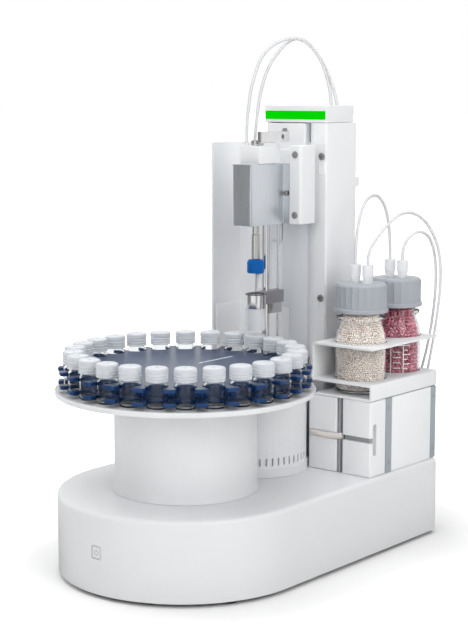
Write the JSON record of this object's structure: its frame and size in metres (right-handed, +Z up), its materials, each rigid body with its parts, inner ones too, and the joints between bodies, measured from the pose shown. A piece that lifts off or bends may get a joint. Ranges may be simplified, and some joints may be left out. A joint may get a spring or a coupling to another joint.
{
  "type": "autosampler",
  "caption": "Bench autosampler: vial turntable in front of a lift tower with needle head, beside a gas drying unit with two bead-filled bottles and hoses.",
  "frame": {"origin": "middle of the outline in plan, at the bottom of the feet; the turntable's axis lies 81 mm in front of it", "axes": "+Z up, -Y towards the rounded front with the power key, +X towards the gas drying unit"},
  "size_m": [0.269, 0.4334, 0.5527],
  "materials": {
    "housing_white": "satin moulded white",
    "key_white": "satin white with a grey ring and power symbol",
    "plate_dark": "black plate with rubber feet",
    "sheet_white": "satin white powder coat",
    "bracket_white": "satin white",
    "cover_grey": "satin blue grey",
    "column_grey": "fine anodised blue grey",
    "frame_grey": "satin grey",
    "disc_metal": "matt grey top with a pale rim",
    "rack_blue": "glossy dark blue",
    "vial_clear": "clear glass under a translucent white cap",
    "steel": "ground steel",
    "sleeve_steel": "polished steel",
    "nut_blue": "moulded blue",
    "status_green": "lit green diffuser",
    "bottle_cream": "clear glass filled with cream beads",
    "bottle_crimson": "clear glass filled with crimson beads",
    "cap_grey": "ribbed grey with pale fittings",
    "tube_clear": "soft translucent"
  },
  "bodies": {
    "stand": {"base_housing": "housing_white", "pedestal_housing": "housing_white", "oven_housing": "housing_white", "base_plate": "plate_dark", "tower_shroud": "sheet_white", "top_cap": "sheet_white", "gas_unit_side_panel": "sheet_white", "gas_unit_left_cover": "sheet_white", "gas_unit_right_cover": "sheet_white", "bottle_holder": "sheet_white", "tower_column": "column_grey", "gas_unit_body": "frame_grey", "guide_rods": "steel", "status_light": "status_green", "drying_bottle_1": "bottle_cream", "drying_bottle_2": "bottle_crimson", "bottle_cap_1": "cap_grey", "bottle_cap_2": "cap_grey", "head_tube_front": "tube_clear", "head_tube_rear": "tube_clear", "bottle_link_tube": "tube_clear", "first_gas_tube": "tube_clear", "second_gas_tube": "tube_clear"},
    "turntable": {"turntable_shaft": "steel", "turntable_disc": "disc_metal", "vial_rack": "rack_blue", "vial_01": "vial_clear", "vial_02": "vial_clear", "vial_03": "vial_clear", "vial_04": "vial_clear", "vial_05": "vial_clear", "vial_06": "vial_clear", "vial_07": "vial_clear", "vial_08": "vial_clear", "vial_09": "vial_clear", "vial_10": "vial_clear", "vial_12": "vial_clear", "vial_13": "vial_clear", "vial_14": "vial_clear", "vial_15": "vial_clear", "vial_16": "vial_clear", "vial_17": "vial_clear", "vial_18": "vial_clear", "vial_19": "vial_clear", "vial_20": "vial_clear", "vial_21": "vial_clear", "vial_22": "vial_clear", "vial_23": "vial_clear", "vial_24": "vial_clear", "vial_25": "vial_clear", "vial_26": "vial_clear"},
    "loose_vial": {"vial_11": "vial_clear"},
    "lift_head": {"lift_bracket": "bracket_white", "head_cover": "cover_grey", "head_body": "bracket_white", "needle_holder": "steel", "needle_nut": "nut_blue"},
    "hold_down": {"hold_down_sleeve": "sleeve_steel"},
    "screw": {"lift_screw": "steel"},
    "key": {"power_key": "key_white"}
  },
  "joints": [
    {"name": "turntable_spin", "type": "hinge", "parent": "stand", "child": "turntable", "pos_m": [0, -0.081, 0.19], "axis": [0, 0, 1], "continuous": true},
    {"name": "needle_lift", "type": "slide", "parent": "stand", "child": "lift_head", "axis": [0, 0, 1], "range_m": [-0.05, 0]},
    {"name": "hold_down_slide", "type": "slide", "parent": "stand", "child": "hold_down", "axis": [0, 0, 1], "range_m": [-0.005, 0]},
    {"name": "screw_spin", "type": "hinge", "parent": "stand", "child": "screw", "pos_m": [-0.028, 0.1283, 0.27], "axis": [0, 0, 1], "range_deg": [-5, 2260]},
    {"name": "power_press", "type": "slide", "parent": "stand", "child": "key", "axis": [0, 1, 0], "range_m": [0, 0.001], "stiffness_N_per_m": 400},
    {"name": "vial_lift", "type": "slide", "parent": "turntable", "child": "loose_vial", "axis": [0, 0, 1], "range_m": [0, 0.05]}
  ],
  "couplings": [
    {"joint": "hold_down_slide", "follows": "needle_lift", "ratio": 0.088},
    {"joint": "screw_spin", "follows": "needle_lift", "rad_per_m": -785.4}
  ]
}
